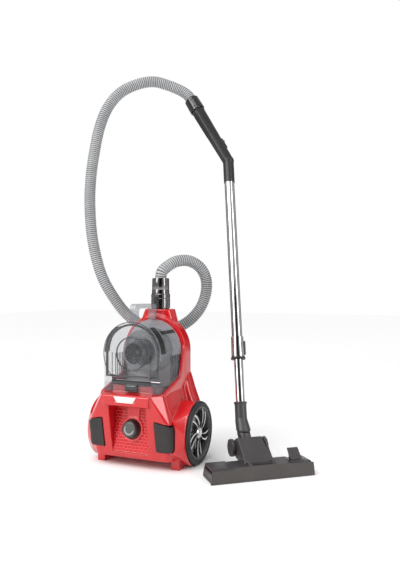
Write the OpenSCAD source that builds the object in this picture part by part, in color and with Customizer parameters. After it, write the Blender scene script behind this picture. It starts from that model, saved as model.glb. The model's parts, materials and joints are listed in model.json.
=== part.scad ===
// Canister vacuum cleaner, standing parked, with hose, telescopic wand and floor head.
// Units are millimetres, Z is up, X runs across the canister and -Y is its front.

/* [Canister] */
// half width of the body at the pedals
body_half_w = 127; // [120:1:135]
// underside of the body above the floor
body_z0 = 28; // [24:1:34]
// ledge that carries the dust container
ledge_z = 213; // [205:1:220]
// back face of the body
body_back = 92; // [86:1:100]
// wall thickness of the mouldings
wall = 3; // [2.5:0.1:4]

/* [Dust container] */
// half width and arch radius of the container
bin_r = 92; // [88:1:93]
// height of the arch centre
bin_cz = 324; // [315:1:330]
// front face of the container
bin_front = -106; // [-110:1:-100]
// back face of the container
bin_back = 31; // [25:1:34]
// container wall
bin_wall = 2.5; // [2:0.1:3]

/* [Wheels] */
// radius of the rear wheels
wheel_r = 91; // [88:1:94]
// outer face of the tyre from the middle plane
wheel_x = 166; // [162:1:170]
// tyre width
tyre_w = 26; // [22:1:30]
// radius of the wheel axle
axle_r = 6; // [5:0.1:7]

/* [Hose] */
// outside radius of the corrugated hose
hose_r = 18.5; // [16:0.5:20]

/* [Wand] */
// outside radius of the outer tube
tube_r = 16; // [15:0.1:17.5]
// outside radius of the inner tube
inner_r = 14; // [13:0.1:15]
// tube wall
tube_wall = 1.6; // [1:0.1:2]
// lean of the wand away from the vertical
wand_lean = 17.4; // [10:0.1:22]
// bend of the grip from the wand axis
grip_bend = 26.8; // [20:0.1:35]

/* [Floor head] */
// half width of the floor head
head_w = 150; // [140:1:155]
// turn of the floor head about the vertical
head_turn = 40.6; // [30:0.1:50]
// height of the barrel axis
barrel_z = 60; // [55:1:65]

/* [Hidden] */
$fn = 48;
set_shift = [-162.492, -77.275, 0];
eps = 0.02;
lean_dir = 119.5;
wand_at = [269, 63, 150];
head_at = [300, 35.5, 0];
sleeve_t = 156;
sleeve_len = 67;
grip_t = 818;
chrome_top_t = 737;
cuff_l = 212;
cuff_len = 47;
panel_tilt = 8.5;
panel_at = [0, -97, 110];
front_tilt = 10.4;
wheel_y = 10;
inlet_y = 76;
collar_z = 446;
pivot = [283, 46];
bin_z0 = ledge_z + 1;
hinge_z = 248;
bush_r = 23.5;
caster_z = 332;
screw_spots = [[-100, 100], [100, 100], [-100, 180], [100, 180], [-60, 250], [60, 250]];
pedal_travel = 4;
recess_w = 59.5;
axle_x = 118;

hose_route = [
  [12.9, 278.5, 1151.2], [-1, 277.5, 1169.5], [-26, 270, 1187], [-60, 253, 1202], [-104, 230, 1214],
  [-150, 204, 1205], [-200, 172, 1174], [-235, 145, 1120], [-255, 125, 1050], [-266, 110, 965],
  [-271, 96, 875], [-268, 86, 780], [-254, 82, 665], [-223, 88, 550], [-174, 104, 462],
  [-130, 116, 413], [-84, 128, 386], [-36, 142, 376], [8, 158, 380], [50, 178, 404],
  [82, 196, 445], [99, 203, 494], [101, 198, 540], [88, 179, 577], [62, 150, 597],
  [34, 116, 594], [13, 91, 576], [3, 78, 560], [0, 76, 541.5]
];

module place() { translate(set_shift) children(); }
module on_wand(t = 0) { translate(wand_at) rotate([0, wand_lean, lean_dir]) translate([0, 0, t]) children(); }
module on_grip(l = 0) { on_wand(grip_t) rotate([-grip_bend, 0, 0]) translate([0, 0, l]) children(); }
module on_panel() { translate(panel_at) rotate([-panel_tilt, 0, 0]) children(); }
module on_head() { translate(head_at) rotate([0, 0, head_turn]) children(); }
module both() {
  children();
  mirror([1, 0, 0]) children();
}
module slab(w, y0, y1, r, z, h = 1) {
  translate([0, 0, z]) linear_extrude(h) hull() both() {
    translate([w - r, y0 + r]) circle(r, $fn = 24);
    translate([w - r, y1 - r]) circle(r, $fn = 24);
  }
}
module both_sides(half) { polygon(concat(half, [for (i = [len(half) - 1 : -1 : 0]) [-half[i][0], half[i][1]]])); }
module arch2d(r, cz, z0) {
  difference() {
    union() {
      translate([0, cz]) circle(r, $fn = 64);
      translate([-r, z0]) square([2 * r, cz - z0]);
    }
    translate([-r - 1, z0 - 2 * r]) square([2 * r + 2, 2 * r]);
  }
}
// an arch drawn in X and Z, from y0 to y1
module arch(r, cz, z0, y0, y1) { translate([0, y1, 0]) rotate([90, 0, 0]) linear_extrude(y1 - y0) arch2d(r, cz, z0); }
module ring(ro, ri, h) { difference() { cylinder(h = h, r = ro); translate([0, 0, -1]) cylinder(h = h + 2, r = ri); } }
module x_cyl(r, x0, x1) { translate([x0, 0, 0]) rotate([0, 90, 0]) cylinder(h = x1 - x0, r = r); }
module y_cyl(r, y0, y1) { translate([0, y1, 0]) rotate([90, 0, 0]) cylinder(h = y1 - y0, r = r); }
// a profile drawn in Y and Z, from x0 to x1
module side(pts, x0, x1) { translate([x0, 0, 0]) rotate([90, 0, 90]) linear_extrude(x1 - x0) polygon(pts); }

// ---- body ----
module tub(o) {
  hull() {
    slab(body_half_w - 4 - o, -104 + o, body_back - 6 - o, 18, body_z0 + o);
    slab(body_half_w + 4 - o, -118 + o, body_back - o, 18, 90);
    slab(body_half_w + 2 - o, -127 + o, body_back - o, 18, 140);
    translate([0, 0, ledge_z - 1 - o]) linear_extrude(1) both_sides([[0, -138 + o], [76 - o, -138 + o],
      [100 - o, -106 + o], [104 - o, -60], [104 - o, body_back - o], [0, body_back - o]]);
  }
}
module rear_arch(o) {
  hull() {
    arch(104 - o, bin_cz, ledge_z - 20, 34 + o, 74 - o);
    arch(86 - o, bin_cz, ledge_z - 20, 34 + o, body_back - o);
  }
}
module cheek() {
  side([[-104, 205], [-104, 215], [-50, 233], [2, 251], [11, 268], [16, 290], [30, 335], [40, 345], [40, 205]],
    bin_r + 2, 103);
}
module fender() {
  difference() {
    translate([0, wheel_y, wheel_r]) x_cyl(wheel_r + 7, 112, 160);
    translate([100, -10, -20]) cube([80, 140, 240]);
    translate([100, -120, -20]) cube([80, 140, 20 + 9]);
  }
}
// sweeps the arch down into the top of the wheel
module flare() {
  hull() {
    slab(138, 22, 86, 20, 168);
    slab(120, 26, 90, 20, 209);
  }
  hull() {
    slab(120, 26, 90, 20, 209);
    slab(104, 38, 90, 16, 254);
  }
}
module wheel_wells() {
  both() translate([0, wheel_y, wheel_r]) x_cyl(wheel_r + 2.5, wheel_x - tyre_w - 3, 200);
}
module body_outer() {
  union() {
    tub(0);
    rear_arch(0);
    both() cheek();
    flare();
    both() hull() {
      fender();
      translate([112, -112, 60]) cube([14, 60, 80]);
    }
    both() translate([108, -74, 0]) cube([26, 60, 40]);
    both() translate([92, 56, 0]) cube([26, 28, 40]);
    hull() {
      slab(62, 40, body_back, 20, 400);
      slab(46, 42, 104, 26, collar_z - 3, 3);
    }
  }
}
module back_shell() {
  color("crimson") {
    shell_body();
    translate([-64.5, bin_front + 6.6, ledge_z - 2.5]) cube([129, 12.4, 23]);
  }
}
module shell_body() {
  difference() {
    union() {
      difference() {
        body_outer();
        tub(wall);
        rear_arch(wall);
      }
      translate([0, 0, caster_z]) y_cyl(30, 61, body_back - 1);
    }
    wheel_wells();
    both() pedal_pocket();
    translate([-200, -200, -10]) cube([400, 96, 400]);
    arch(bin_r + 1.5, bin_cz, ledge_z, -200, 33);
    translate([0, inlet_y, 380]) cylinder(h = 100, r = bush_r + 0.15);
    translate([0, 0, caster_z]) y_cyl(27, 65, 120);
    translate([0, 0, caster_z]) y_cyl(5.05, 50, 70);
    translate([-62, 0, 70]) y_cyl(9, 80, 120);
    for (p = screw_spots) translate([p[0], 0, p[1]]) y_cyl(2.55, 78, 120);
    both() translate([0, wheel_y, wheel_r]) x_cyl(axle_r + eps, 90, 160);
  }
}

module front_fascia() {
  color("crimson") difference() {
    union() {
      intersection() {
        difference() {
          tub(0);
          tub(wall);
        }
        translate([-200, -200, -10]) cube([400, 95.7, 400]);
      }
      side([[-136, 179], [-143, 184], [-143, 209], [-139, ledge_z - 1], [-120, ledge_z - 1], [-120, 179]], -74, 74);
      both() side([[-106, 40], [-131, 181], [-83, 181], [-104.6, 40]], recess_w - 1, recess_w + wall);
      side([[-131.5, 179], [-84, 179], [-84, 183], [-131.5, 183]], -recess_w - 1.5, recess_w + 1.5);
    }
    translate([-recess_w, -140, 44]) cube([2 * recess_w, 60, 136]);
    both() pedal_pocket();
    translate([-37, -144.5, 191]) cube([74, 3, 18.5]);
  }
}

module name_plate() {
  color("white") translate([0, -141.5, 0]) rotate([90, 0, 0]) linear_extrude(1.8)
    polygon([[-36, 208.5], [36, 208.5], [25, 192], [-25, 192]]);
}

module exhaust_grille() {
  color("crimson") on_panel() rotate([90, 0, 0]) difference() {
    translate([-recess_w + 0.3, -66, -3]) cube([2 * recess_w - 0.6, 135, 3]);
    translate([0, 0, -10]) cylinder(h = 20, r = 7);
    for (row = [-6 : 6], col = [-4 : 4])
      if (abs(row) > 3 || abs(col) > 3)
        translate([col * 11 + (row % 2 == 0 ? 2.7 : -2.7), row * 9, -4]) cube([6, 3.4, 12], center = true);
  }
}

module knob_track() {
  color("crimson") on_panel() rotate([90, 0, 0]) difference() {
    union() {
      translate([0, 0, eps]) cylinder(h = 4, r = 34);
      translate([-20, 0, eps]) cube([40, 66, 3]);
    }
    translate([0, 0, -1]) cylinder(h = 10, r = 28.5);
  }
}
module power_knob() {
  color("dimgray") on_panel() rotate([90, 0, 0]) difference() {
    union() {
      translate([0, 0, 0.6]) cylinder(h = 4, r = 27);
      translate([0, 0, 4.6]) cylinder(h = 17, r1 = 26, r2 = 24);
    }
    translate([0, 0, -1]) cylinder(h = 16, r = 5);
    translate([0, 0, 20.4]) cylinder(h = 5, r = 20.1);
  }
}
module knob_cap() { color("gray") on_panel() rotate([90, 0, 0]) translate([0, 0, 20.4]) cylinder(h = 1.8, r = 20.1); }
module knob_shaft() {
  color("silver") on_panel() rotate([90, 0, 0]) {
    translate([0, 0, -13]) cylinder(h = 28, r = 4.97);
  }
}

// ---- pedals ----
module pedal_plan(o, back) {
  polygon([[84 - o, -2.5 - o], [122 + o, -2.5 - o], [130 + o, 1.5 - o], [134 + o, 8], [134.5 + o, 28 + o],
    [130 - o, 28 + o], [129 - o - back, 12 + back], [124 - back, 5 + back], [84 - o, 3 + back]]);
}
module pedal_block(o, back) {
  translate([0, -119.8, 100]) rotate([front_tilt, 0, 0]) intersection() {
    translate([0, 0, -43 - o]) linear_extrude(86 + 2 * o) pedal_plan(o, back);
    translate([0, 60, 0]) rotate([90, 0, 0]) linear_extrude(80) polygon([[70, -50], [126, -44 - o], [137 + o, -36 - o],
      [137 + o, 14 + o], [130.5, 28 + o], [120.5, 35 + o], [70, 44.6 + o]]);
  }
}
module pedal_pocket() {
  pedal_block(1.2, 0);
  pedal_block(1.2, 7);
  translate([0, pedal_travel + 0.5, 0]) pedal_block(1.2, 0);
}
module power_pedal() { color([0.25, 0.23, 0.23]) pedal_block(0, 0); }
module rewind_pedal() { color([0.25, 0.23, 0.23]) mirror([1, 0, 0]) pedal_block(0, 0); }
module pedal_springs() {
  color("silver") both() translate([102, 0, 100]) {
    y_cyl(5, -110.6, -92);
    y_cyl(8, -92, -89);
  }
}

// ---- wheels ----
module on_wheel(s) { translate([s * wheel_x, wheel_y, wheel_r]) rotate([0, s * 90, 0]) children(); }
module tyre(s) {
  color([0.1, 0.1, 0.1]) on_wheel(s) translate([0, 0, -tyre_w]) rotate_extrude($fn = 72)
    polygon([[75, 0], [86, 0], [91, 5], [91, 17], [86, 24], [79, 26], [75, 24]]);
}
module rim(s) {
  color([0.75, 0.75, 0.77]) on_wheel(s) difference() {
    union() {
      translate([0, 0, -tyre_w + 2]) ring(75 - eps, 69, 20);
      translate([0, 0, -tyre_w + 4]) ring(24, 9, 18);
      for (k = [0 : 9]) rotate([0, 0, 36 * k]) translate([20, -4, -12]) cube([51, 8, 6]);
      translate([0, 0, -tyre_w + 2]) ring(70, 9, 3);
      translate([0, 0, -4.2]) cylinder(h = 5.2, r1 = 22, r2 = 18);
    }
    translate([0, 0, -40]) cylinder(h = 36, r = axle_r + 0.05);
  }
}
module tyre_right() { tyre(1); }
module tyre_left() { tyre(-1); }
module rim_right() { rim(1); }
module rim_left() { rim(-1); }
module wheel_axles() {
  color("silver") both() translate([0, wheel_y, wheel_r]) {
    x_cyl(axle_r, axle_x, wheel_x - 5);
    x_cyl(11, axle_x, 127.9);
  }
}

// ---- caster under the hidden back ----
module caster_fork() {
  color([0.2, 0.2, 0.2]) translate([0, 0, caster_z]) difference() {
    union() {
      y_cyl(25, 66, 71);
      y_cyl(5, 58, 67);
      both() translate([9, 70, -20]) cube([3, 24, 16]);
    }
    translate([0, 88.5, -12]) x_cyl(2.5 + eps, -20, 20);
  }
}
module caster_wheel() {
  color([0.12, 0.12, 0.12]) translate([0, 88.5, caster_z - 12]) difference() {
    x_cyl(12, -8, 8);
    x_cyl(2.55, -10, 10);
  }
}
module caster_pin() { color("silver") translate([0, 88.5, caster_z - 12]) x_cyl(2.5, -12, 12); }

// ---- inside the body ----
module motor_housing() {
  color([0.55, 0.56, 0.58]) translate([56, 12, 0]) difference() {
    union() {
      translate([0, 0, 45]) cylinder(h = 112, r = 52);
      translate([0, 0, 157]) cylinder(h = 14, r1 = 46, r2 = 30);
    }
    translate([0, 0, 118]) cylinder(h = 36, r = 47);
    translate([0, 0, 150]) cylinder(h = 60, r = 22);
    translate([0, 0, 49]) cylinder(h = 65, r = 47);
    translate([0, 0, 110]) cylinder(h = 20, r = 5.05);
  }
}
module motor_fan() {
  color("silver") translate([56, 12, 0]) {
    translate([0, 0, 124]) cylinder(h = 3, r = 44);
    translate([0, 0, 52]) cylinder(h = 59, r = 28);
    translate([0, 0, 105]) cylinder(h = 37, r = 5);
    for (k = [0 : 8]) rotate([0, 0, 40 * k]) translate([12, -1, 126.5]) cube([30, 2, 14.5]);
  }
}
module motor_rubbers() {
  color([0.1, 0.1, 0.1]) translate([56, 12, 0]) {
    translate([0, 0, 171.02]) ring(34, 22, ledge_z - 4.1 - 171.02);
    translate([0, 0, body_z0 + wall + 1]) ring(40, 20, 12.98);
  }
}
module reel_drum() {
  color([0.3, 0.3, 0.32]) translate([0, 12, 112]) difference() {
    union() {
      x_cyl(66, -102, -98);
      x_cyl(66, -54, -50);
      x_cyl(36, -98, -54);
    }
    x_cyl(6.05, -110, -40);
  }
}
module reel_axle() {
  color("silver") translate([0, 12, 112]) {
    x_cyl(6, -108, -44);
    x_cyl(12, -113, -108);
    translate([-44, -14, -78.5]) cube([4, 28, 96]);
  }
}
module cord_outlet() {
  color([0.1, 0.1, 0.1]) translate([-62, 0, 70]) difference() {
    union() {
      y_cyl(8.9, 84, 94);
      y_cyl(12, 92.2, 95);
    }
    y_cyl(4, 70, 100);
  }
}
module exhaust_filter() { color("whitesmoke") translate([-48, -92, 36]) cube([96, 14, 46]); }
module control_board() {
  color("darkgreen") {
    translate([-38, -82, 92]) cube([76, 2, 60]);
    on_panel() rotate([90, 0, 0]) translate([0, 0, -18.5]) cylinder(h = 5, r = 9);
  }
}
module housing_screws() {
  color("silver") for (p = screw_spots) translate([p[0], 0, p[1]]) {
    y_cyl(2.5, 80, body_back + 0.5);
    y_cyl(4.5, body_back + 0.2, body_back + 2.5);
  }
}

// ---- hose connection ----
module inlet_bush() {
  color([0.15, 0.15, 0.16]) translate([0, inlet_y, 0]) {
    translate([0, 0, 412]) ring(bush_r, 20.55, collar_z - 411.9);
    translate([0, 0, collar_z + 0.1]) ring(27, 20.55, 2);
  }
}
module inlet_seal() { color([0.05, 0.05, 0.05]) translate([0, inlet_y, 404]) ring(bush_r, 17, 7.8); }
module hose_connector() {
  color([0.08, 0.08, 0.09]) translate([0, inlet_y, 0]) difference() {
    union() {
      translate([0, 0, 413]) cylinder(h = 40, r = 20.5);
      translate([0, 0, collar_z + 2.6]) cylinder(h = 44, r = 29.5);
      translate([0, 0, collar_z + 46.6]) cylinder(h = 48.4, r1 = 27.5, r2 = 26);
    }
    translate([0, 0, 400]) cylinder(h = 200, r = 16.5);
    translate([-8, -32, collar_z + 14]) cube([16, 12, 24]);
  }
}
module connector_clip() { color([0.15, 0.15, 0.16]) translate([-7.6, inlet_y - 30, collar_z + 14.4]) cube([15.2, 6.4, 23.2]); }

// ---- hose: one smooth tube through the route ----
function mix3(a, b, c, d, t) = 0.5 * (2 * b + (c - a) * t + (2 * a - 5 * b + 4 * c - d) * t * t
  + (3 * b - a - 3 * c + d) * t * t * t);
function route_at(i, t) = mix3(hose_route[max(i - 1, 0)], hose_route[i], hose_route[i + 1],
  hose_route[min(i + 2, len(hose_route) - 1)], t);
function unit(v) = v / norm(v);
hose_pts = concat([for (i = [0 : len(hose_route) - 2], t = [0, 0.5]) route_at(i, t)], [hose_route[len(hose_route) - 1]]);
function tangent(i) = i == 0 ? [-0.524, 0.01, 0.852] : i == len(hose_pts) - 1 ? [0, 0, -1]
  : unit(hose_pts[i + 1] - hose_pts[i - 1]);
function carry(i, n) = let (t = tangent(i), m = n - (n * t) * t) unit(m);
function normals(i, n) = i >= len(hose_pts) ? [] : let (m = carry(i, n)) concat([m], normals(i + 1, m));
module suction_hose() {
  sides = 12;
  ns = normals(0, [0, 1, 0]);
  pts = [for (i = [0 : len(hose_pts) - 1], k = [0 : sides - 1])
    let (n = ns[i], b = cross(tangent(i), n), a = 360 * k / sides)
    hose_pts[i] + hose_r * (cos(a) * n + sin(a) * b)];
  last = (len(hose_pts) - 1) * sides;
  faces = concat([[for (k = [0 : sides - 1]) k]], [[for (k = [0 : sides - 1]) last + sides - 1 - k]],
    [for (i = [0 : len(hose_pts) - 2], k = [0 : sides - 1])
      [i * sides + k, (i + 1) * sides + k, (i + 1) * sides + (k + 1) % sides, i * sides + (k + 1) % sides]]);
  color("gray") polyhedron(points = pts, faces = faces);
}

// ---- dust container ----
module bin_shell() {
  color([0.5, 0.52, 0.55, 0.5]) difference() {
    union() {
      difference() {
        union() {
          arch(bin_r, bin_cz, bin_z0, bin_front + 5.5, bin_back - 4);
          translate([-bin_r, bin_front, bin_z0]) cube([2 * bin_r, 6, hinge_z - 6 - bin_z0]);
        }
        arch(bin_r - bin_wall, bin_cz, bin_z0 + bin_wall, bin_front + 3, bin_back + 10);
        arch(bin_r - bin_wall, bin_cz, hinge_z - 5.9, bin_front - 10, bin_back + 10);
      }
      translate([-68, bin_front + 2, bin_z0 + 0.5]) cube([136, 20.5, 23.5]);
    }
    translate([-65.5, bin_front + 6, bin_z0 - 1]) cube([131, 14, 22.5]);
    translate([-21, bin_front - 5, bin_z0 + 2]) cube([42, 11.1, 23]);
  }
}
module bin_flap() {
  color([0.5, 0.52, 0.55, 0.5]) difference() {
    union() {
      arch(bin_r, bin_cz, hinge_z + 3, bin_front, bin_front + 3);
      arch(bin_r - 3.2, bin_cz, hinge_z + 5, bin_front + 2.9, bin_front + 5);
      translate([0, 0, bin_cz]) y_cyl(49, bin_front - 2.5, bin_front + 1);
      translate([0, bin_front + 2.5, hinge_z]) x_cyl(4.5, -50, 50);
    }
    arch(bin_r - 6.5, bin_cz, hinge_z + 9, bin_front + 3, bin_front + 8);
    translate([0, 0, bin_cz]) y_cyl(46, bin_front - 5, bin_front - 0.5);
    translate([0, bin_front + 2.5, hinge_z]) x_cyl(2.05, -60, 60);
  }
}
module flap_seal() {
  color([0.08, 0.08, 0.08]) difference() {
    arch(bin_r - 6.6, bin_cz, hinge_z + 9.1, bin_front + 3.1, bin_front + 8);
    arch(bin_r - 12, bin_cz, hinge_z + 14, bin_front + 2, bin_front + 9);
  }
}
module flap_pin() { color("silver") translate([0, bin_front + 2.5, hinge_z]) x_cyl(2, 1.5 - bin_r, bin_r - 1.5); }
module bin_handle() {
  color([0.5, 0.52, 0.55, 0.5]) difference() {
    side([[-98, 405], [-98, 452], [-94, 462], [-86, 466], [22, 464], [30, 458], [32, 440], [26, 404], [10, 404],
      [14, 440], [8, 450], [-70, 452], [-76, 446], [-76, 405]], -10, 10);
    arch(bin_r + 0.05, bin_cz, 250, -120, 60);
  }
}
module bin_latch() {
  color([0.08, 0.08, 0.08]) union() {
    translate([-20, bin_front - 3, bin_z0 + 3]) cube([40, 5, 21]);
    translate([-14, bin_front - 4, bin_z0 + 8]) cube([28, 2, 11]);
  }
}
module cyclone_cone() {
  color([0.15, 0.15, 0.16]) translate([0, 0, bin_cz]) {
    difference() {
      rotate([90, 0, 0]) translate([0, 0, -27.9]) cylinder(h = 112, r1 = 48, r2 = 27);
      rotate([90, 0, 0]) translate([0, 0, -28]) cylinder(h = 113, r1 = 45, r2 = 24);
    }
    for (k = [0 : 11]) rotate([0, 30 * k, 0]) translate([10, -80, -0.8]) cube([15, 40, 1.6]);
    y_cyl(10.5, -80, 20);
  }
}
module separator() {
  color([0.3, 0.3, 0.32]) translate([0, 0, bin_cz]) difference() {
    y_cyl(66, -40, 26);
    y_cyl(63, -36, 30);
    y_cyl(40, -50, -30);
    for (k = [0 : 23], y = [-26 : 10 : 14]) rotate([0, 15 * k, 0]) translate([60, y, -2.5]) cube([10, 6, 5]);
  }
}
module bin_cover() {
  color([0.2, 0.2, 0.22]) difference() {
    union() {
      arch(bin_r, bin_cz, bin_z0, bin_back - 3.9, bin_back);
      arch(bin_r - bin_wall - 0.2, bin_cz, bin_z0 + bin_wall + 0.3, bin_back - 8, bin_back - 3.9);
    }
    translate([0, 0, bin_cz]) y_cyl(67, bin_back - 20, bin_back - 3);
    translate([0, 0, bin_cz]) y_cyl(30, 0, 50);
  }
}
module pleated_filter() {
  color("whitesmoke") translate([0, 0, 300]) {
    for (k = [-10 : 10]) translate([k * 6 - 1.2, 40, -38]) cube([2.4, 15, 96]);
    translate([-66, 38, -42]) cube([132, 3, 104]);
  }
}
// ---- wand ----
module inner_tube() {
  color([0.8, 0.8, 0.82]) on_wand() difference() {
    translate([0, 0, -12]) cylinder(h = 512, r = inner_r);
    translate([0, 0, -20]) cylinder(h = 530, r = inner_r - tube_wall);
    for (k = [0 : 12]) translate([0, -inner_r, 50 + 20 * k]) cube([6, 2.4, 5], center = true);
  }
}
module outer_tube() {
  color([0.8, 0.8, 0.82]) on_wand(sleeve_t + 18) ring(tube_r, inner_r + 0.3, chrome_top_t + 28 - sleeve_t - 18);
}
module telescope_sleeve() {
  color([0.12, 0.12, 0.13]) on_wand(sleeve_t) difference() {
    union() {
      cylinder(h = 4, r = 21.5);
      translate([0, 0, 4]) cylinder(h = sleeve_len - 4, r1 = 20, r2 = 18.6);
    }
    translate([0, 0, -1]) cylinder(h = 20, r = inner_r + 0.3);
    translate([0, 0, 17.9]) cylinder(h = 60, r = tube_r + eps);
    translate([-7, -30, 12]) cube([14, 13.4, 42]);
  }
}
module telescope_button() {
  color([0.45, 0.45, 0.46]) on_wand(sleeve_t) translate([-6.6, -23.4, 12.6]) cube([13.2, 4.6, 40.8]);
}
module handle_grip() {
  color([0.14, 0.13, 0.14]) difference() {
    union() {
      on_wand(chrome_top_t) cylinder(h = grip_t - chrome_top_t, r = 17.8);
      on_grip() sphere(r = 19);
      on_grip() cylinder(h = cuff_l - 6, r1 = 18.2, r2 = 21.5);
      on_grip(cuff_l - 6) cylinder(h = 5.6, r = 22.5);
      on_grip(cuff_l - 1) cylinder(h = 22, r = 17.95);
    }
    on_wand(chrome_top_t - 1) cylinder(h = 29, r = tube_r + eps);
    on_wand(chrome_top_t + 20) cylinder(h = grip_t - chrome_top_t - 20, r = 14.5);
    on_grip() sphere(r = 15);
    on_grip() cylinder(h = cuff_l + 30, r = 14.5);
    on_grip(40) translate([-9, -24, 0]) cube([18, 6.6, 56]);
  }
}
module bleed_slider() { color([0.3, 0.3, 0.3]) on_grip(44) translate([-8, -21.8, 0]) union() {
    translate([0, 0.4, 0]) cube([16, 3.4, 38]);
    translate([2, -3, 24]) cube([12, 4, 6]);
  } }
module hose_cuff() {
  color([0.08, 0.08, 0.08]) on_grip(cuff_l) difference() {
    cylinder(h = cuff_len, r1 = 25.5, r2 = 24);
    translate([0, 0, -1]) cylinder(h = cuff_len + 2, r = 18);
  }
}

// ---- floor head ----
module neck_elbow() {
  color([0.2, 0.19, 0.19]) difference() {
    union() {
      on_wand(24) cylinder(h = 5, r = 19.8);
      on_wand(-24) cylinder(h = 50, r = 17.5);
      hull() {
        on_wand(-24) cylinder(h = 3, r = 18);
        translate([pivot[0], pivot[1], 100]) cylinder(h = 5, r = 20.5);
      }
    }
    on_wand(-12.5) cylinder(h = 60, r = inner_r + eps);
    on_wand(-40) cylinder(h = 60, r = 12);
    translate([pivot[0], pivot[1], 90]) cylinder(h = 22, r = 13);
  }
}
module neck_barrel() {
  color([0.2, 0.19, 0.19]) difference() {
    union() {
      hull() {
        translate([pivot[0], pivot[1], 92]) cylinder(h = 7.5, r = 18.5);
        on_head() translate([0, 2, barrel_z + 4]) x_cyl(16, -16, 10);
      }
      on_head() translate([0, 0, barrel_z]) x_cyl(22, -37, 37);
      on_head() translate([0, 0, barrel_z]) x_cyl(12, -46, 46);
      translate([pivot[0], pivot[1], 92]) cylinder(h = 17, r = 12.95);
    }
    translate([pivot[0], pivot[1], 70]) cylinder(h = 50, r = 10.5);
  }
}
module barrel_caps() {
  color([0.24, 0.22, 0.22]) on_head() both() translate([0, 0, barrel_z]) difference() {
    x_cyl(24.5, 44.5, 54);
    x_cyl(12 + eps, 40, 46.01);
  }
}
module head_cover() {
  color([0.2, 0.18, 0.19]) on_head() difference() {
    union() {
      hull() {
        translate([-head_w + 3, -116, 12]) cube([2 * head_w - 6, 74, 1]);
        translate([-head_w + 7, -116, 34]) cube([2 * head_w - 14, 70, 3]);
      }
      side([[-115.5, 36], [-115.5, 38.4], [-95, 47], [-80, 47], [-80, 36]], -39.5, 39.5);
      both() side([[-96, 30], [-24, 93], [-16, 90], [14, 72], [18, 58], [10, 44], [-14, 36], [-42, 30]], 38, 43);
      hull() {
        side([[-96, 45], [-90, 43], [-88, 50]], -45, 38.5);
        side([[-27, 90], [-22, 91], [-25, 94]], -42, 30);
      }
    }
    translate([-head_w + 6, -112, 5]) cube([2 * head_w - 12, 66, 28]);
    translate([0, 0, barrel_z]) x_cyl(12.05, -60, 60);
    translate([0, 0, barrel_z]) x_cyl(25.5, -37.9, 37.9);
    both() translate([0, 0, barrel_z]) x_cyl(25.5, 43.8, 60);
    translate([94, -92, 26]) cube([38, 46, 20]);
    both() translate([88, -64, 10]) cube([14, 21.5, 14]);
    translate([0, -66, 35.5]) x_cyl(2.05, 90, 136);
  }
}
module head_base() {
  color([0.12, 0.12, 0.12]) on_head() difference() {
    translate([-head_w + 3, -116, 3]) cube([2 * head_w - 6, 74, 8.9]);
    translate([-head_w + 20, -92, 0]) cube([2 * head_w - 40, 12, 20]);
    translate([-head_w + 14, -108, 0]) cube([2 * head_w - 28, 8, 20]);
    both() translate([88, -64, -1]) cube([14, 22.5, 20]);
  }
}
module foot_pedal() {
  color([0.25, 0.23, 0.23]) on_head()
    union() {
      side([[-88, 36], [-76, 43], [-54, 63], [-50, 61], [-62, 44], [-64, 34], [-86, 33.5]], 97, 129);
      translate([0, -66, 35.5]) x_cyl(2, 91, 135);
    }
}
module brush_carriage() {
  color([0.1, 0.1, 0.1]) on_head() {
    translate([-head_w + 16, -107, 8.6]) cube([2 * head_w - 32, 6, 5]);
    for (k = [-12 : 12]) translate([k * 10.6 - 3, -106, 4.2]) cube([6, 4, 5]);
  }
}
module rollers() {
  color([0.15, 0.15, 0.15]) on_head() both() translate([0, -52, 8.5]) difference() {
    x_cyl(8.5, 91, 99);
    x_cyl(1.55, 80, 110);
  }
}
module roller_axles() { color("silver") on_head() both() translate([0, -52, 8.5]) x_cyl(1.5, 86, 104); }
module front_skirt() {
  color([0.24, 0.21, 0.21]) on_head() translate([0, -116.2, 0]) rotate([90, 0, 0]) linear_extrude(3.8)
    polygon([[-head_w, 1], [head_w, 1], [head_w - 4, 37], [72, 37], [66, 40], [-78, 40], [-86, 35], [4 - head_w, 35]]);
}

place() back_shell();
place() front_fascia();
place() name_plate();
place() exhaust_grille();
place() knob_track();
place() power_knob();
place() knob_cap();
place() knob_shaft();
place() power_pedal();
place() rewind_pedal();
place() pedal_springs();
place() tyre_right();
place() tyre_left();
place() rim_right();
place() rim_left();
place() wheel_axles();
place() caster_fork();
place() caster_wheel();
place() caster_pin();
place() motor_housing();
place() motor_fan();
place() motor_rubbers();
place() reel_drum();
place() reel_axle();
place() cord_outlet();
place() exhaust_filter();
place() control_board();
place() housing_screws();
place() inlet_bush();
place() inlet_seal();
place() hose_connector();
place() connector_clip();
place() suction_hose();
place() bin_shell();
place() bin_flap();
place() flap_seal();
place() flap_pin();
place() bin_handle();
place() bin_latch();
place() cyclone_cone();
place() separator();
place() bin_cover();
place() pleated_filter();
place() hose_cuff();
place() handle_grip();
place() bleed_slider();
place() outer_tube();
place() telescope_sleeve();
place() telescope_button();
place() inner_tube();
place() neck_elbow();
place() neck_barrel();
place() barrel_caps();
place() head_cover();
place() head_base();
place() front_skirt();
place() foot_pedal();
place() brush_carriage();
place() rollers();
place() roller_axles();
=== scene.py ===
"""Looks of the canister vacuum cleaner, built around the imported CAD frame."""

import json
import math

import bmesh
import bpy
import numpy as np
from mathutils import Matrix, Vector


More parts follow.
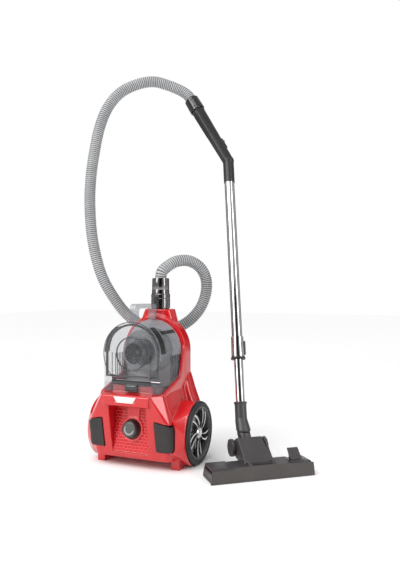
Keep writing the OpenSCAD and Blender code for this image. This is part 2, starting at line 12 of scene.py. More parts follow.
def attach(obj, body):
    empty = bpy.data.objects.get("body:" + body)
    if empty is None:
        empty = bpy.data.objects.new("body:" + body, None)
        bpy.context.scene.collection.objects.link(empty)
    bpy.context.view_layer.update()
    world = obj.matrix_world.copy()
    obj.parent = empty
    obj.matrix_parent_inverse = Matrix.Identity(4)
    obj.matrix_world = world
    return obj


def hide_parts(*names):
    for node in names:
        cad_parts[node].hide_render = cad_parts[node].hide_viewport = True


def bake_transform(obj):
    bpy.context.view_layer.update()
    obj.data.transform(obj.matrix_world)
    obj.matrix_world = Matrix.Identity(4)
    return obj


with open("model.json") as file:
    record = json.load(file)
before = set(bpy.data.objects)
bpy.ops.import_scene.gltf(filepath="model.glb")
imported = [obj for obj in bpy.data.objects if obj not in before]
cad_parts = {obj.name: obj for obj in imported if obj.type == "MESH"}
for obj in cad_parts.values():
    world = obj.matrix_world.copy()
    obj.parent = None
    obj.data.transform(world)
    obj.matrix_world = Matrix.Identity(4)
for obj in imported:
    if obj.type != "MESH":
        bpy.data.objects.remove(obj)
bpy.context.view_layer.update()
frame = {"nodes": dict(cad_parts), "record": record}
nodes = frame["nodes"]

MM = 0.001
SET_SHIFT = Vector((-162.492, -77.275, 0))  # canister middle to the row's origin, mm


def at(x, y, z):
    """A point given in mm from the canister's middle, in the row frame."""
    return (Vector((x, y, z)) + SET_SHIFT) * MM


def turn(axis, degrees):
    return Matrix.Rotation(math.radians(degrees), 4, axis)


def shift(x, y, z):
    return Matrix.Translation(Vector((x, y, z)) * MM)


SET = Matrix.Translation(SET_SHIFT * MM)
WAND = SET @ shift(269, 63, 150) @ turn("Z", 119.5) @ turn("Y", 17.4)
GRIP = WAND @ shift(0, 0, 818) @ turn("X", -26.8)
PANEL = SET @ shift(0, -97, 110) @ turn("X", -8.5) @ turn("X", 90)
HEAD = SET @ shift(300, 35.5, 0) @ turn("Z", 40.6)
BIN = SET @ shift(0, 0, 324) @ turn("X", 90)  # the container's arch centre, out of its front
INLET = SET @ shift(0, 76, 0)

# ---- camera ----


def make_camera():
    data = bpy.data.cameras.new("camera")
    data.sensor_width = 36
    data.lens = 37.9
    camera = bpy.data.objects.new("camera", data)
    bpy.context.scene.collection.objects.link(camera)
    camera.location = at(859.8, -1586.5, 520)
    camera.rotation_euler = (math.radians(90), 0, math.radians(23.6))
    bpy.context.scene.camera = camera


# ---- mesh helpers ----


def add_object(name, mesh):
    obj = bpy.data.objects.new(name, mesh)
    bpy.context.scene.collection.objects.link(obj)
    return obj


def smooth_shade(mesh, sharp_degrees=None):
    """Smooth shading, kept sharp at edges that turn more than sharp_degrees."""
    mesh.polygons.foreach_set("use_smooth", [True] * len(mesh.polygons))
    if sharp_degrees is None:
        return
    work = bmesh.new()
    work.from_mesh(mesh)
    limit = math.radians(sharp_degrees)
    for edge in work.edges:
        edge.smooth = len(edge.link_faces) == 2 and edge.calc_face_angle(0) < limit
    work.to_mesh(mesh)
    work.free()


def mesh_object(name, verts, faces, matrix=None, sharp=30):
    """A mesh from points in mm, placed by matrix."""
    mesh = bpy.data.meshes.new(name)
    mesh.from_pydata([Vector(v) * MM for v in verts], [], faces)
    work = bmesh.new()
    work.from_mesh(mesh)
    bmesh.ops.recalc_face_normals(work, faces=work.faces)
    work.to_mesh(mesh)
    work.free()
    mesh.transform(matrix or SET)
    smooth_shade(mesh, sharp)
    return add_object(name, mesh)


def lathe(name, profile, matrix, segments=64, sharp=30, radius_at=None):
    """Turns a closed profile of (radius, height) in mm about Z."""
    verts = []
    faces = []
    count = len(profile)
    for i in range(segments):
        angle = 2 * math.pi * i / segments
        for j, (r, z) in enumerate(profile):
            if radius_at:
                r = radius_at(r, j, i)
            verts.append((r * math.cos(angle), r * math.sin(angle), z))
    for i in range(segments):
        for j in range(count):
            a, b = i * count + j, i * count + (j + 1) % count
            k = (i + 1) % segments * count
            faces.append((a, b, k + (j + 1) % count, k + j))
    return mesh_object(name, verts, faces, matrix, sharp)


def boxes(name, parts, matrix, bevel=0.4, sharp=30):
    """One mesh of many bevelled boxes, each (centre, size) or (centre, size, matrix) in mm."""
    verts = []
    faces = []
    sides = [(0, 1, 3, 2), (4, 6, 7, 5), (0, 4, 5, 1), (2, 3, 7, 6), (0, 2, 6, 4), (1, 5, 7, 3)]
    for part in parts:
        centre, size = Vector(part[0]), Vector(part[1])
        local = part[2] if len(part) > 2 else Matrix.Identity(4)
        base = len(verts)
        for sx in (-0.5, 0.5):
            for sy in (-0.5, 0.5):
                for sz in (-0.5, 0.5):
                    corner = Vector((sx * size.x, sy * size.y, sz * size.z))
                    verts.append(centre + (local @ corner))
        faces += [tuple(base + i for i in f) for f in sides]
    obj = mesh_object(name, verts, faces, matrix, sharp)
    if bevel:
        add_bevel(obj, bevel)
    return obj


def add_bevel(obj, width, segments=2):
    """Rounds the sharp edges by width mm, baked into the mesh."""
    mod = obj.modifiers.new("bevel", "BEVEL")
    mod.width = width * MM
    mod.segments = segments
    mod.limit_method = "ANGLE"
    mod.angle_limit = math.radians(35)
    apply_modifiers(obj)
    smooth_shade(obj.data, 40)


def apply_modifiers(obj):
    graph = bpy.context.evaluated_depsgraph_get()
    baked = bpy.data.meshes.new_from_object(obj.evaluated_get(graph))
    old = obj.data
    obj.modifiers.clear()
    obj.data = baked
    bpy.data.meshes.remove(old)


def soften(node, voxel, rounds, name=None):
    """A copy of a CAD node with its moulded edges rounded, which stands for that node."""
    copy = add_object(name or node + "_soft", nodes[node].data.copy())
    copy.data.materials.clear()
    remesh = copy.modifiers.new("remesh", "REMESH")
    remesh.mode = "VOXEL"
    remesh.voxel_size = voxel * MM
    smooth = copy.modifiers.new("smooth", "SMOOTH")
    smooth.factor = 0.5
    smooth.iterations = rounds
    apply_modifiers(copy)
    smooth_shade(copy.data)
    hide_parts(node)
    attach(copy, BODY_OF[node])
    return copy


BODY_OF = {n: b for b, members in frame["record"]["behaviour"]["bodies"].items() for n in members}

# ---- materials ----


def new_material(name):
    material = bpy.data.materials.new(name)
    material.use_nodes = True
    shader = material.node_tree.nodes["Principled BSDF"]
    return material, material.node_tree, shader


def varied_colour(tree, shader, colour, amount, scale):
    """Base colour with soft noise around it."""
    coords = tree.nodes.new("ShaderNodeTexCoord")
    noise = tree.nodes.new("ShaderNodeTexNoise")
    noise.inputs["Scale"].default_value = scale
    noise.inputs["Detail"].default_value = 5
    ramp = tree.nodes.new("ShaderNodeValToRGB")
    low = [max(0.0, c * (1 - amount)) for c in colour[:3]] + [1]
    high = [min(1.0, c * (1 + amount)) for c in colour[:3]] + [1]
    ramp.color_ramp.elements[0].position = 0.35
    ramp.color_ramp.elements[1].position = 0.65
    ramp.color_ramp.elements[0].color = low
    ramp.color_ramp.elements[1].color = high
    tree.links.new(coords.outputs["Object"], noise.inputs["Vector"])
    tree.links.new(noise.outputs["Fac"], ramp.inputs["Fac"])
    tree.links.new(ramp.outputs["Color"], shader.inputs["Base Color"])
    return coords


def surface_grain(tree, shader, coords, scale, depth, rough_low, rough_high):
    """Fine bump and roughness variation, as a moulded or brushed surface has."""
    grain = tree.nodes.new("ShaderNodeTexNoise")
    grain.inputs["Scale"].default_value = scale
    grain.inputs["Detail"].default_value = 8
    bump = tree.nodes.new("ShaderNodeBump")
    bump.inputs["Strength"].default_value = depth
    bump.inputs["Distance"].default_value = 0.0005
    spread = tree.nodes.new("ShaderNodeMapRange")
    spread.inputs["To Min"].default_value = rough_low
    spread.inputs["To Max"].default_value = rough_high
    tree.links.new(coords.outputs["Object"], grain.inputs["Vector"])
    tree.links.new(grain.outputs["Fac"], bump.inputs["Height"])
    tree.links.new(bump.outputs["Normal"], shader.inputs["Normal"])
    tree.links.new(grain.outputs["Fac"], spread.inputs["Value"])
    tree.links.new(spread.outputs["Result"], shader.inputs["Roughness"])


def plastic(name, colour, rough=(0.3, 0.4), grain=(900, 0.15), amount=0.06, coat=0.0, metal=0.0,
            patch=18):
    material, tree, shader = new_material(name)
    coords = varied_colour(tree, shader, colour, amount, patch)
    surface_grain(tree, shader, coords, grain[0], grain[1], rough[0], rough[1])
    shader.inputs["Coat Weight"].default_value = coat
    shader.inputs["Coat Roughness"].default_value = 0.06
    shader.inputs["Metallic"].default_value = metal
    return material


def smoky(name, colour, alpha):
    """Smoky clear plastic: a tinted see-through film with a clear gloss."""
    material, tree, shader = new_material(name)
    coords = varied_colour(tree, shader, colour, 0.12, 9)
    surface_grain(tree, shader, coords, 240, 0.04, 0.08, 0.16)
    shader.inputs["Alpha"].default_value = alpha
    shader.inputs["Coat Weight"].default_value = 0.6
    shader.inputs["Coat Roughness"].default_value = 0.04
    return material


def make_materials():
    return {
        "red": plastic("red_gloss", (0.54, 0.004, 0.008), (0.14, 0.22), (500, 0.02), 0.05,
                       coat=0.5),
        "track": plastic("red_light", (0.8, 0.07, 0.08), (0.2, 0.3), (500, 0.03), 0.05, coat=0.3),
        "mortar": plastic("red_pale", (0.86, 0.17, 0.18), (0.3, 0.4), (700, 0.05), 0.05),
        "white": plastic("white_plate", (0.74, 0.73, 0.72), (0.2, 0.3), (700, 0.04), 0.02,
                         coat=0.3),
        "pedal": plastic("pedal_grey", (0.022, 0.019, 0.018), (0.5, 0.65), (1500, 0.4), 0.12),
        "knob": plastic("knob_grey", (0.018, 0.017, 0.017), (0.25, 0.36), (1200, 0.15), 0.1),
        "grey": plastic("mid_grey", (0.085, 0.083, 0.083), (0.3, 0.42), (900, 0.15), 0.06),
        "mark": plastic("mark_silver", (0.45, 0.45, 0.45), (0.3, 0.4), (900, 0.1), 0.05),
        "black": plastic("black_satin", (0.008, 0.008, 0.009), (0.35, 0.5), (1300, 0.2), 0.15),
        "gloss_black": plastic("black_gloss", (0.006, 0.006, 0.007), (0.1, 0.18), (600, 0.02), 0.1,
                               coat=0.7),
        "tyre": plastic("tyre_rubber", (0.014, 0.014, 0.015), (0.4, 0.55), (1100, 0.3), 0.2),
        "silver": plastic("rim_silver", (0.6, 0.59, 0.6), (0.2, 0.3), (800, 0.05), 0.03,
                          metal=1.0),
        "dark_chrome": plastic("dark_chrome", (0.2, 0.19, 0.19), (0.1, 0.17), (500, 0.02), 0.05,
                               coat=0.4, metal=1.0),
        "chrome": plastic("chrome", (0.62, 0.61, 0.61), (0.06, 0.11), (300, 0.01), 0.02,
                          metal=1.0),
        "steel": plastic("steel", (0.5, 0.5, 0.51), (0.25, 0.4), (900, 0.1), 0.08, metal=1.0),
        "hose": plastic("hose_grey", (0.42, 0.43, 0.44), (0.3, 0.42), (900, 0.1), 0.06),
        # darker grey for the hose's valleys: painted shade
        "groove_shade": plastic("hose_valley_shade", (0.13, 0.133, 0.137), (0.5, 0.6), (900, 0.1), 0.1),
        "grip": plastic("grip_dark", (0.016, 0.014, 0.015), (0.28, 0.4), (1100, 0.12), 0.12),
        "head": plastic("head_dark", (0.045, 0.041, 0.044), (0.3, 0.4), (1400, 0.2), 0.1),
        "skirt": plastic("head_skirt", (0.055, 0.047, 0.044), (0.38, 0.5), (1500, 0.3), 0.1),
        "motor": plastic("motor_grey", (0.2, 0.2, 0.21), (0.4, 0.5), (700, 0.2), 0.1),
        "filter": plastic("filter_fleece", (0.75, 0.74, 0.7), (0.8, 0.95), (1600, 0.9), 0.08),
        "board": plastic("board_green", (0.01, 0.09, 0.03), (0.35, 0.5), (900, 0.15), 0.2),
        "smoke": smoky("smoke_clear", (0.26, 0.275, 0.3), 0.17),
        "smoke_lid": smoky("smoke_lid", (0.34, 0.355, 0.38), 0.08),
        "smoke_handle": smoky("smoke_handle", (0.2, 0.21, 0.23), 0.42),
        "smoke_back": smoky("smoke_back", (0.42, 0.43, 0.46), 0.92),
        "smoke_inner": smoky("smoke_inner", (0.34, 0.35, 0.37), 0.5),
        "smoke_dark": smoky("smoke_edge", (0.03, 0.034, 0.04), 0.75),
    }


NODE_LOOK = {
    "back_shell": "red", "front_fascia": "red", "name_plate": "white", "exhaust_grille": "red",
    "knob_track": "track", "power_knob": "knob", "knob_cap": "grey", "knob_shaft": "steel",
    "power_pedal": "pedal", "rewind_pedal": "pedal", "pedal_springs": "steel",
    "tyre_right": "tyre", "tyre_left": "tyre", "rim_right": "silver", "rim_left": "silver",
    "wheel_axles": "steel", "caster_fork": "black", "caster_wheel": "tyre", "caster_pin": "steel",
    "motor_housing": "motor", "motor_fan": "motor", "motor_rubbers": "tyre", "reel_drum": "motor",
    "reel_axle": "steel", "cord_outlet": "black", "exhaust_filter": "filter",
    "control_board": "board", "housing_screws": "steel", "inlet_bush": "gloss_black",
    "inlet_seal": "tyre", "hose_connector": "dark_chrome", "connector_clip": "black",
    "bin_shell": "smoke", "bin_flap": "smoke_lid", "flap_seal": "tyre", "flap_pin": "steel",
    "bin_handle": "smoke_handle", "bin_latch": "gloss_black", "cyclone_cone": "gloss_black",
    "separator": "smoke_inner", "bin_cover": "smoke_back", "pleated_filter": "filter",
    "hose_cuff": "gloss_black", "handle_grip": "grip", "bleed_slider": "grey",
    "outer_tube": "chrome", "telescope_sleeve": "chrome", "telescope_button": "grey",
    "inner_tube": "chrome", "neck_elbow": "head", "neck_barrel": "head", "barrel_caps": "head",
    "head_cover": "head", "head_base": "black", "front_skirt": "skirt", "foot_pedal": "head",
    "brush_carriage": "black", "rollers": "tyre", "roller_axles": "steel", "suction_hose": "hose",
}


def finish_object(obj, material):
    obj.data.materials.clear()
    obj.data.materials.append(material)


# ---- the hose ----

HOSE_ROUTE = [
    (12.9, 278.5,
     1151.2), (-1, 277.5, 1169.5), (-26, 270, 1187), (-60, 253, 1202), (-104, 230, 1214),
    (-150, 204, 1205),
    (-200, 172, 1174), (-235, 145, 1120), (-255, 125, 1050), (-266, 110, 965), (-271, 96, 875),
    (-268, 86, 780), (-254, 82, 665), (-223, 88, 550), (-174, 104, 462), (-130, 116, 413),
    (-84, 128, 386), (-36, 142, 376), (8, 158, 380), (50, 178, 404), (82, 196, 445),
    (99, 203, 494), (101, 198, 540), (88, 179, 577), (62, 150, 597), (34, 116, 594),
    (13, 91, 576), (3, 78, 560), (0, 76, 541.5),
]
HOSE_RADIUS = 18.5
HOSE_SIDES = 28
HOSE_PITCH = 6.6


def route_line(points, steps):
    """A smooth line through the route, the same curve as the CAD tube's."""
    pts = [Vector(p) for p in points]
    line = []
    for i in range(len(pts) - 1):
        a, b = pts[max(i - 1, 0)], pts[i]
        c, d = pts[i + 1], pts[min(i + 2, len(pts) - 1)]
        for k in range(steps):
            t = k / steps
            line.append(0.5 * (2 * b + (c - a) * t + (2 * a - 5 * b + 4 * c - d) * t * t
                               + (3 * b - a - 3 * c + d) * t ** 3))
    line.append(pts[-1])
    return line


def even_steps(line, step):
    """The same line with points a fixed distance apart."""
    lengths = [0.0]
    for a, b in zip(line, line[1:]):
        lengths.append(lengths[-1] + (b - a).length)
    count = max(2, round(lengths[-1] / step))
    stations = np.linspace(0, lengths[-1], count + 1)
    columns = [np.interp(stations, lengths, [p[i] for p in line]) for i in range(3)]
    return [Vector(p) for p in zip(*columns)], lengths[-1]


def tube(name, line, radii, sides, matrix=None, start=None, end=None):
    """A tube along a line, with one radius for each point."""
    tangents = [(line[min(i + 1, len(line) - 1)] - line[max(i - 1, 0)]).normalized()
                for i in range(len(line))]
    if start:
        tangents[0] = Vector(start).normalized()
    if end:
        tangents[-1] = Vector(end).normalized()
    normal = tangents[0].orthogonal().normalized()
    verts = []
    for point, tangent, radius in zip(line, tangents, radii):
        normal = (normal - normal.dot(tangent) * tangent).normalized()
        side = tangent.cross(normal)
        for k in range(sides):
            a = 2 * math.pi * k / sides
            verts.append(point + radius * (math.cos(a) * normal + math.sin(a) * side))
    faces = [tuple(range(sides)), tuple(len(verts) - sides + k for k in range(sides))]
    for i in range(len(line) - 1):
        for k in range(sides):
            a, b = i * sides + k, i * sides + (k + 1) % sides
            faces.append((a, b, b + sides, a + sides))
    return mesh_object(name, verts, faces, matrix, 80)


def make_hose(look):
    line, length = even_steps(route_line(HOSE_ROUTE, 12), HOSE_PITCH / 4)
    wave = [1.0, 0.97, 0.9, 0.97]
    radii = [HOSE_RADIUS * wave[i % 4] for i in range(len(line))]
    hose = tube("hose_ribbed", line, radii, HOSE_SIDES, start=(-0.524, 0.01, 0.852),
                end=(0, 0, -1))
    finish_object(hose, look["hose"])
    hose.data.materials.append(look["groove_shade"])
    # faces round each valley of the corrugation take the darker grey: painted shade in the valleys
    for face in hose.data.polygons[2:]:
        ring = (face.index - 2) // HOSE_SIDES
        face.material_index = 1 if ring % 4 in (1, 2) else 0
    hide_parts("suction_hose")
    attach(hose, "canister")
    world = hose.matrix_world.copy()
    hose.parent = None
    hose.matrix_world = world
    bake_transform(hose)
    return hose


# ---- detailed pieces ----


def add_piece(obj, material, body, *replaced):
    finish_object(obj, material)
    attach(obj, body)
    if replaced:
        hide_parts(*replaced)
    return obj


def wheel_frame(side):
    return SET @ shift(side * 166, 10, 91) @ turn("Y", side * 90)


def make_wheel(look, side, word):
    frame_w = wheel_frame(side)
    body = word + "_wheel"
    tread = [(75.2, -25), (79, -26), (86, -24.5), (89.6, -21), (91, -16), (91, -8), (89.8, -4.4),
             (87, -1.6), (84.6, -0.8), (83.8, -1.8), (82, -1.8), (81.2, -0.6), (78.4, -0.4),
             (77.4, -2), (75.2, -2.6)]

    def grooved(r, j, i):
        return r - 1.1 if j in (4, 5) and i % 4 == 0 else r

    add_piece(lathe("tyre_ribbed_" + word, tread, frame_w, 160, 40, grooved), look["tyre"], body,
              "tyre_" + word)
    # the hoop's mid grey is a painted highlight, standing for the lit ring just inside the tyre
    hoop = [(75.1, -24), (75.1, -2.4), (74.2, -1.2), (72, -1.4), (70.4, -4), (69, -7), (69, -24)]
    add_piece(lathe("rim_hoop_" + word, hoop, frame_w, 96), look["grey"], body, "rim_" + word)
    dish = [(0.5, -23), (70, -23), (70, -20.4), (52, -17.5), (30, -15.5), (0.5, -15)]
    add_piece(lathe("rim_dish_" + word, dish, frame_w, 64), look["gloss_black"], body)
    hub = [(0.3, -14), (17, -14), (17, -6), (13.5, -3), (12.6, -3.6), (9.8, -3.4), (8.6, -1.2),
           (4, -0.2), (0.3, 0)]
    add_piece(lathe("rim_hub_" + word, hub, frame_w, 48), look["silver"], body)
    verts, faces = [], []
    steps = 12
    for k in range(10):
        sweep = 0.5 if k % 2 else 0.26
        start = 2 * math.pi * k / 10 + (0.1 if k % 2 else 0)
        for i in range(steps + 1):
            t = i / steps
            r = 12 + t * 60
            angle = start + side * sweep * t ** 1.5
            half = (1.5 + (4.4 if k % 2 else 2.6) * t ** 1.6) / r
            crown = -5.5 + 1.6 * math.sin(math.pi * t) + 1.5 * (1 - t)
            for offset, z in ((-half, crown - 3.5), (-half * 0.85, crown - 0.8), (0, crown),
                              (half * 0.85, crown - 0.8), (half, crown - 3.5),
                              (half * 0.6, crown - 7), (-half * 0.6, crown - 7)):
                verts.append((r * math.cos(angle + offset), r * math.sin(angle + offset), z))
            if i:
                base = len(verts) - 14
                faces += [(base + j, base + (j + 1) % 7, base + 7 + (j + 1) % 7, base + 7 + j)
                          for j in range(7)]
        last = len(verts) - 7
        faces += [tuple(range(last - 7 * steps, last - 7 * steps + 7)),
                  tuple(range(last, last + 7))]
    add_piece(mesh_object("rim_spokes_" + word, verts, faces, frame_w, 50), look["silver"], body)


def make_grille(look):
    """The perforated panel: raised bricks in running bond on a recessed plate."""
    plate = boxes("grille_plate", [((0, 1.5, -1.9), (118, 134, 2.2))], PANEL, 0.4)
    add_piece(plate, look["mortar"], "canister", "exhaust_grille")
    bricks = []
    pitch_x, pitch_y = 13.0, 8.6
    for row in range(15):
        for col in range(-5, 6):
            x = (col + (0.5 if row % 2 else 0)) * pitch_x
            left, right = max(x - 5.7, -58.5), min(x + 5.7, 58.5)
            if right - left > 2:
                centre = ((left + right) / 2, -60 + row * pitch_y, -0.5)
                bricks.append((centre, (right - left, 7.2, 0.9)))
    add_piece(boxes("grille_bricks", bricks, PANEL, 0), look["red"], "canister")


def make_knob(look):
    base = [(4.9, 0.6), (27, 0.6), (27, 3.4), (25.8, 4.4), (25.4, 5), (24.6, 17), (23.6, 20),
            (21.6, 21.4), (20.6, 21.6), (20, 20.9), (4.9, 20.9)]

    def ridged(r, j, i):
        return r - 0.7 if j in (4, 5) and i % 3 == 0 else r

    add_piece(lathe("knob_ridged", base, PANEL, 120, 50, ridged), look["knob"], "knob",
              "power_knob")
    face = [(0.3, 20.4), (20, 20.4), (20, 21.7), (19.2, 22.2), (12.5, 21.7), (6, 21.9), (0.3, 22)]
    add_piece(lathe("knob_face", face, PANEL, 64, 50), look["grey"], "knob", "knob_cap")
    verts, faces = [], []
    steps = 30
    for i in range(steps + 1):
        a = math.radians(150 + 200 * i / steps)
        for r, z in ((12.4, 21.9), (12.8, 22.35), (14.6, 22.45), (15.0, 21.9)):
            verts.append((r * math.cos(a), r * math.sin(a), z))
        if i:
            b = len(verts) - 8
            faces += [(b + j, b + (j + 1) % 4, b + 4 + (j + 1) % 4, b + 4 + j) for j in range(4)]
    faces += [(0, 1, 2, 3), tuple(range(len(verts) - 4, len(verts)))]
    add_piece(mesh_object("knob_arc", verts, faces, PANEL), look["mark"], "knob")


def arc_patch(name, r, thick, y0, y1, a0, a1, steps=24):
    """A curved tile on the container's arch, between two angles from +X and two depths."""
    verts, faces = [], []
    for i in range(steps + 1):
        a = math.radians(a0 + (a1 - a0) * i / steps)
        for rr, y in ((r, y0), (r + thick, y0 + 0.5), (r + thick, y1 - 0.5), (r, y1)):
            verts.append((rr * math.cos(a), y, 324 + rr * math.sin(a)))
        if i:
            b = len(verts) - 8
            faces += [(b + j, b + (j + 1) % 4, b + 4 + (j + 1) % 4, b + 4 + j) for j in range(4)]
    faces += [(0, 1, 2, 3), tuple(range(len(verts) - 4, len(verts)))]
    return mesh_object(name, verts, faces)


def make_container(look):
    for word, a0, a1 in (("right", 1, 54), ("left", 126, 179)):
        add_piece(arc_patch("grip_band_" + word, 92.1, 1.1, -99, -72, a0, a1), look["black"],
                  "dust_bin")
    for i in range(5):
        tile = arc_patch("vent_tile_%d" % i, 92.1, 0.8, -62 + 18 * i, -47 + 18 * i, 36, 43, 6)
        add_piece(tile, look["black"], "dust_bin")
    ribs = [((92.6 * s, -38 + 10 * i, 280 + i), (1.6, 3.4, 72 - 2 * i))
            for i in range(7) for s in (-1, 1)]
    add_piece(boxes("container_ribs", ribs, SET, 0.4), look["smoke_dark"], "dust_bin")
    rails = [((62 * s, -107, 290), (1.6, 1.6, 74)) for s in (-1, 1)]
    add_piece(boxes("lid_rails", rails, SET, 0.3), look["smoke_dark"], "flap")
    bar = [((0, -107, 244), (126, 2.6, 11)), ((-56, -106.6, 252), (12, 2, 10))]
    add_piece(boxes("hinge_bar", bar, SET, 0.5), look["gloss_black"], "dust_bin")
    steps = 60
    verts, faces = [], []
    for i in range(steps + 1):
        a = math.radians(-49 + 278 * i / steps)
        for r, y in ((89.4, -106), (89.6, -107.2), (91.6, -107.2), (91.8, -106)):
            verts.append((r * math.cos(a), y, 324 + r * math.sin(a)))
        if i:
            b = len(verts) - 8
            faces += [(b + j, b + (j + 1) % 4, b + 4 + (j + 1) % 4, b + 4 + j) for j in range(4)]
    add_piece(mesh_object("lid_rim", verts, faces), look["smoke_dark"], "flap")
    ring = [(45.4, 106), (45.8, 108.3), (48.6, 108.3), (49, 106)]
    add_piece(lathe("lid_ring", ring, BIN, 96), look["smoke_dark"], "flap")


def make_cone(look):
    """The cyclone's nose: a funnel with swirled blades behind the clear ring."""
    funnel = [(31, 91), (29, 91), (27.6, 66), (44, -27), (47.6, -27.6), (34, 60)]
    add_piece(lathe("cyclone_funnel", funnel, BIN, 64), look["gloss_black"], "dust_bin",
              "cyclone_cone")
    backing = [(0.3, 52), (27, 52), (27, 55), (0.3, 55)]
    add_piece(lathe("cyclone_backing", backing, BIN, 48), look["black"], "dust_bin")
    verts, faces = [], []
    for k in range(14):
        for i in range(7):
            t = i / 6
            r = 7 + 20.5 * t
            a = 2 * math.pi * k / 14 + 0.9 * t
            for da, z in ((0, 89 - 16 * (1 - t)), (0.1, 89 - 16 * (1 - t)), (0.1, 56), (0, 56)):
                verts.append((r * math.cos(a + da), r * math.sin(a + da), z))
            if i:
                b = len(verts) - 8
                faces += [(b + j, b + (j + 1) % 4, b + 4 + (j + 1) % 4, b + 4 + j)
                          for j in range(4)]
        faces += [tuple(range(len(verts) - 28, len(verts) - 24)),
                  tuple(range(len(verts) - 4, len(verts)))]
    add_piece(mesh_object("cyclone_blades", verts, faces, BIN), look["knob"], "dust_bin")
    nose = [(0.3, 55), (9, 55), (8.4, 66), (6, 71), (2.5, 73), (0.3, 73.5)]
    add_piece(lathe("cyclone_nose", nose, BIN, 40), look["knob"], "dust_bin")


def make_connector(look):
    profile = [(20.4, 413), (20.4, 448.8), (28.6, 448.8), (29.4, 449.8), (29.4, 478),
               (28.9, 478.8), (29.4, 479.6), (29.4, 491), (28.4, 492.4), (27.3, 493), (27, 505),
               (26.5, 506), (26.8, 507), (26.2, 538), (25.2, 541.2), (18.9, 541.2), (16.6, 538),
               (16.6, 413)]
    add_piece(lathe("connector_turned", profile, INLET, 72), look["dark_chrome"], "connector",
              "hose_connector")


def make_cuff(look):
    profile = [(18.2, 0.4), (24.6, 0.4), (25.4, 1.4), (25.2, 9), (24.4, 9.8), (24.4, 11.2),
               (25.1, 12), (24.4, 34), (23.6, 34.8), (23.6, 36), (24.2, 36.8), (24, 45.6),
               (23, 46.8), (18.2, 46.8)]
    cuff_at = GRIP @ shift(0, 0, 212)
    add_piece(lathe("cuff_turned", profile, cuff_at, 64), look["gloss_black"], "cuff", "hose_cuff")


def make_sleeve_ring(look):
    profile = [(18.2, -1.4), (21.6, -1.4), (22, -0.8), (22, 3), (21.4, 3.8), (20.6, 4), (20.4, 6),
               (19, 6.4), (18.2, 6.4)]
    add_piece(lathe("sleeve_ring", profile, WAND @ shift(0, 0, 156), 64), look["black"],
              "upper_wand")


def make_grip_ribs(look):
    """Short raised ribs along the back of the grip."""
    verts, faces = [], []
    for k in range(15):
        z0 = 112 + 6 * k
        for i in range(13):
            a = math.radians(60 + 120 * i / 12)
            for dr, z in ((-0.6, z0), (0.9, z0 + 0.5), (0.9, z0 + 1.9), (-0.6, z0 + 2.4)):
                r = 18.2 + 3.3 * z / 209 + dr
                verts.append((r * math.cos(a), r * math.sin(a), z))
            if i:
                b = len(verts) - 8
                faces += [(b + j, b + (j + 1) % 4, b + 4 + (j + 1) % 4, b + 4 + j)
                          for j in range(4)]
        faces += [tuple(range(len(verts) - 52, len(verts) - 48)),
                  tuple(range(len(verts) - 4, len(verts)))]
    add_piece(mesh_object("grip_ribs", verts, faces, GRIP), look["black"], "upper_wand")


def make_head_details(look):
    panels = [((-114, -78, 37.6), (56, 66, 1.6)), ((-29, -111, 39), (0.8, 7, 1.0)),
              ((29, -111, 39), (0.8, 7, 1.0))]
    add_piece(boxes("head_panel", panels, HEAD, 0.5), look["head"], "head")
    badge = boxes("head_badge", [((0, 0, 0.5), (58, 13, 1.0))],
                  HEAD @ shift(0, -105.2, 42.9) @ turn("X", 22.8), 0.4)
    add_piece(badge, look["gloss_black"], "head")
    add_piece(boxes("pedal_surround", [((114, -84, 37.4), (58, 52, 1.2))], HEAD, 0.5),
              look["gloss_black"], "head")
    comb = [((84 + 5.5 * i, -98, 37.6), (2.6, 14, 1.6)) for i in range(9)]
    add_piece(boxes("head_comb", comb, HEAD, 0.4), look["black"], "head")
    tufts = []
    for k in range(90):
        tufts.append(((-132 + k * 2.97, -104 + 0.5 * (k % 3), 7), (1.3, 2.4, 5.6)))
    add_piece(boxes("brush_tufts", tufts, HEAD, 0), look["black"], "brush")


# ---- stage ----


def make_stage():
    size = 14.0
    bpy.ops.mesh.primitive_plane_add(size=size, location=(0, 2, 0))
    floor = bpy.context.active_object
    floor.name = "floor"
    material, _, shader = new_material("studio_floor")
    shader.inputs["Base Color"].default_value = (0.93, 0.93, 0.93, 1)
    shader.inputs["Roughness"].default_value = 0.7
    finish_object(floor, material)


def area_light(name, place, target, size, power):
    data = bpy.data.lights.new(name, "AREA")
    data.shape = "RECTANGLE"
    data.size, data.size_y = size
    data.energy = power
    light = bpy.data.objects.new(name, data)
    bpy.context.scene.collection.objects.link(light)
    light.location = place
    light.rotation_mode = "QUATERNION"
    light.rotation_quaternion = (Vector(target) - Vector(place)).to_track_quat("-Z", "Y")
    return light


def make_lights():
    world = bpy.data.worlds.new("studio")
    bpy.context.scene.world = world
    world.use_nodes = True
    tree = world.node_tree
    soft = tree.nodes["Background"]
    soft.inputs["Color"].default_value = (1, 1, 1, 1)
    soft.inputs["Strength"].default_value = 0.5
    plain = tree.nodes.new("ShaderNodeBackground")
    plain.inputs["Color"].default_value = (1, 1, 1, 1)
    ray = tree.nodes.new("ShaderNodeLightPath")
    mix = tree.nodes.new("ShaderNodeMixShader")
    tree.links.new(ray.outputs["Is Camera Ray"], mix.inputs["Fac"])
    tree.links.new(soft.outputs["Background"], mix.inputs[1])
    tree.links.new(plain.outputs["Background"], mix.inputs[2])
    tree.links.new(mix.outputs["Shader"], tree.nodes["World Output"].inputs["Surface"])
    sun = bpy.data.lights.new("overhead", "SUN")
    sun.energy = 2.2
    sun.angle = math.radians(60)
    lamp = bpy.data.objects.new("overhead", sun)
    bpy.context.scene.collection.objects.link(lamp)
    lamp.rotation_euler = (math.radians(28), math.radians(-18), 0)
    area_light("key", (-1.4, -2.4, 1.8), (0, 0, 0.4), (0.9, 2.0), 28)
    area_light("side", (2.3, -0.5, 1.4), (0, 0, 0.4), (0.5, 2.4), 22)
    bpy.context.scene.view_settings.view_transform = "Standard"


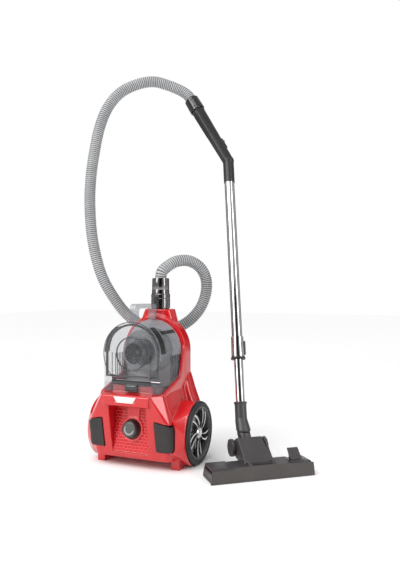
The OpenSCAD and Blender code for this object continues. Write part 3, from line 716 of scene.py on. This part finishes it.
def dark_card(name, place, size):
    """A black flag that only shiny surfaces see, which gives chrome and gloss their dark lines."""
    verts = [(-size[0] / 2, 0, 0), (size[0] / 2, 0, 0), (size[0] / 2, 0, size[1]),
             (-size[0] / 2, 0, size[1])]
    mesh = bpy.data.meshes.new(name)
    mesh.from_pydata(verts, [], [(0, 1, 2, 3)])
    card = add_object(name, mesh)
    card.location = place
    card.rotation_euler = (0, 0, math.atan2(place[1], place[0]) + math.pi / 2)
    material, _, shader = new_material(name)
    shader.inputs["Base Color"].default_value = (0.004, 0.004, 0.004, 1)
    shader.inputs["Roughness"].default_value = 0.9
    finish_object(card, material)
    card.visible_camera = False
    card.visible_diffuse = False
    card.visible_shadow = False
    card.visible_transmission = False


# ---- assemble ----

make_camera()
look = make_materials()
make_hose(look)
make_wheel(look, 1, "right")
make_wheel(look, -1, "left")
make_grille(look)
make_knob(look)
make_container(look)
make_cone(look)
make_connector(look)
make_cuff(look)
make_sleeve_ring(look)
make_grip_ribs(look)
make_head_details(look)

for node, kind in NODE_LOOK.items():
    finish_object(nodes[node], look[kind])

SOFTENED = {
    "back_shell": (2.2, 6), "front_fascia": (1.6, 4), "power_pedal": (1.4, 5),
    "rewind_pedal": (1.4, 5), "knob_track": (0.9, 4), "bin_latch": (0.9, 4),
    "bleed_slider": (0.7, 3), "telescope_button": (0.7, 3), "front_skirt": (1.0, 3),
    "handle_grip": (1.8, 6), "neck_elbow": (1.4, 6), "neck_barrel": (1.4, 5),
    "barrel_caps": (1.2, 4), "head_cover": (1.6, 4), "foot_pedal": (1.0, 4),
    "bin_handle": (1.2, 4),
}
for node, (voxel, rounds) in SOFTENED.items():
    finish_object(soften(node, voxel, rounds), look[NODE_LOOK[node]])

rear = bpy.data.objects["back_shell_soft"]
rear.data.materials.append(look["black"])
rear_start = at(0, 86, 0)[1]
for face in rear.data.polygons:
    if face.center.y > rear_start:
        face.material_index = 1

make_stage()
make_lights()
dark_card("card_front", (1.16, -2.77, 0.02), (2.4, 2.6))
dark_card("card_rear_right", (0.64, 2.93, 0.02), (1.3, 2.6))
dark_card("card_rear_left", (-2.54, 1.6, 0.02), (1.3, 2.6))
